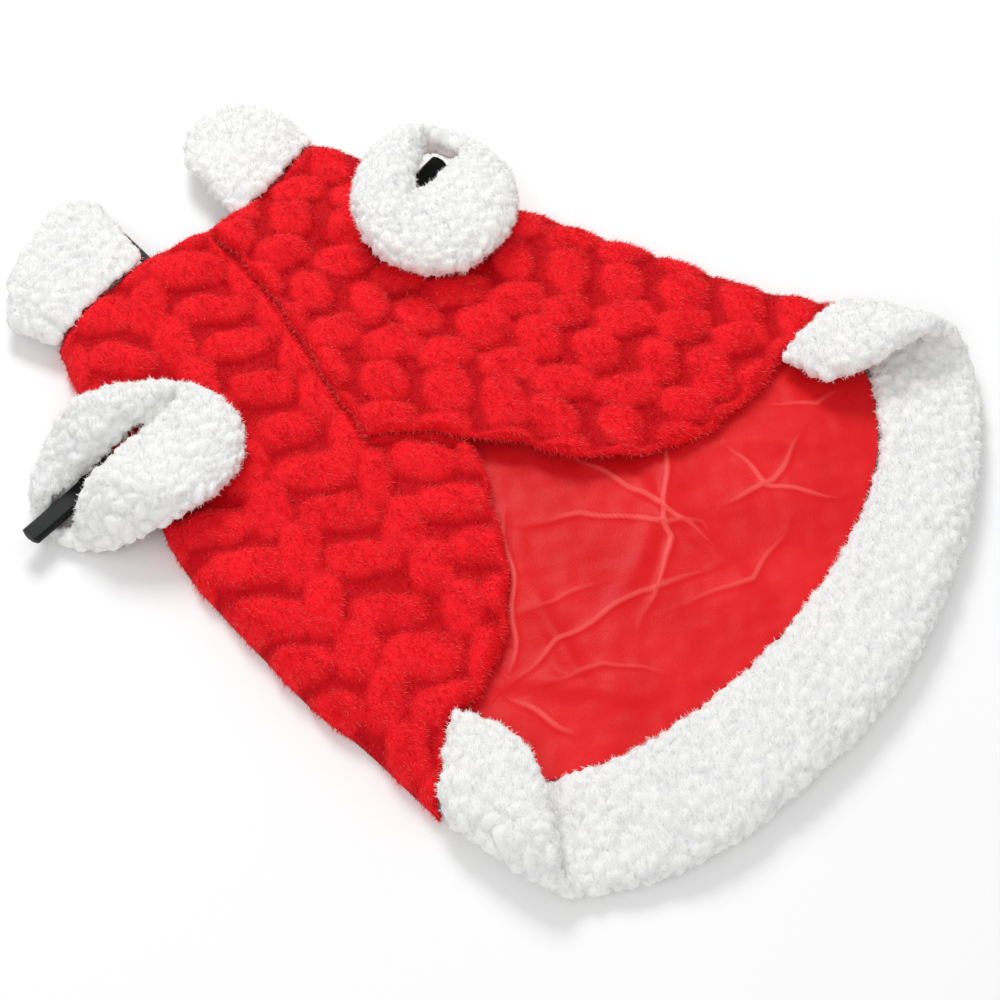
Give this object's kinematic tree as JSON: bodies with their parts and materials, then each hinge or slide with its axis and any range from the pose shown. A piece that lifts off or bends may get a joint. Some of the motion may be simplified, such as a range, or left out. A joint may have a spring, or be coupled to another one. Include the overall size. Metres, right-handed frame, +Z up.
{
  "type": "dog santa suit with hanger",
  "caption": "Santa suit for a dog laid flat, chest side up: red plush body with crossed front flaps, white pile cuffs, collar and hem band, satin lining, and a flat hanger inside.",
  "frame": {"origin": "middle of the plan, on the surface the garment lies on", "axes": "+Y from the tail hem to the neck, +X to the right as the chest is seen from above with the neck away, +Z up from the surface"},
  "size_m": [0.3546, 0.481, 0.0383],
  "materials": {
    "red_plush": "soft embossed plush",
    "red_satin": "smooth satin",
    "white_pile": "curly pile",
    "black_plastic": "satin"
  },
  "bodies": {
    "root": {"back_panel": "red_plush", "flap_left": "red_plush", "flap_right": "red_plush", "back_lining": "red_satin", "hem_band": "white_pile", "collar_left": "white_pile", "collar_right": "white_pile", "cuff_left": "white_pile", "cuff_right": "white_pile", "hanger": "black_plastic"}
  },
  "joints": []
}
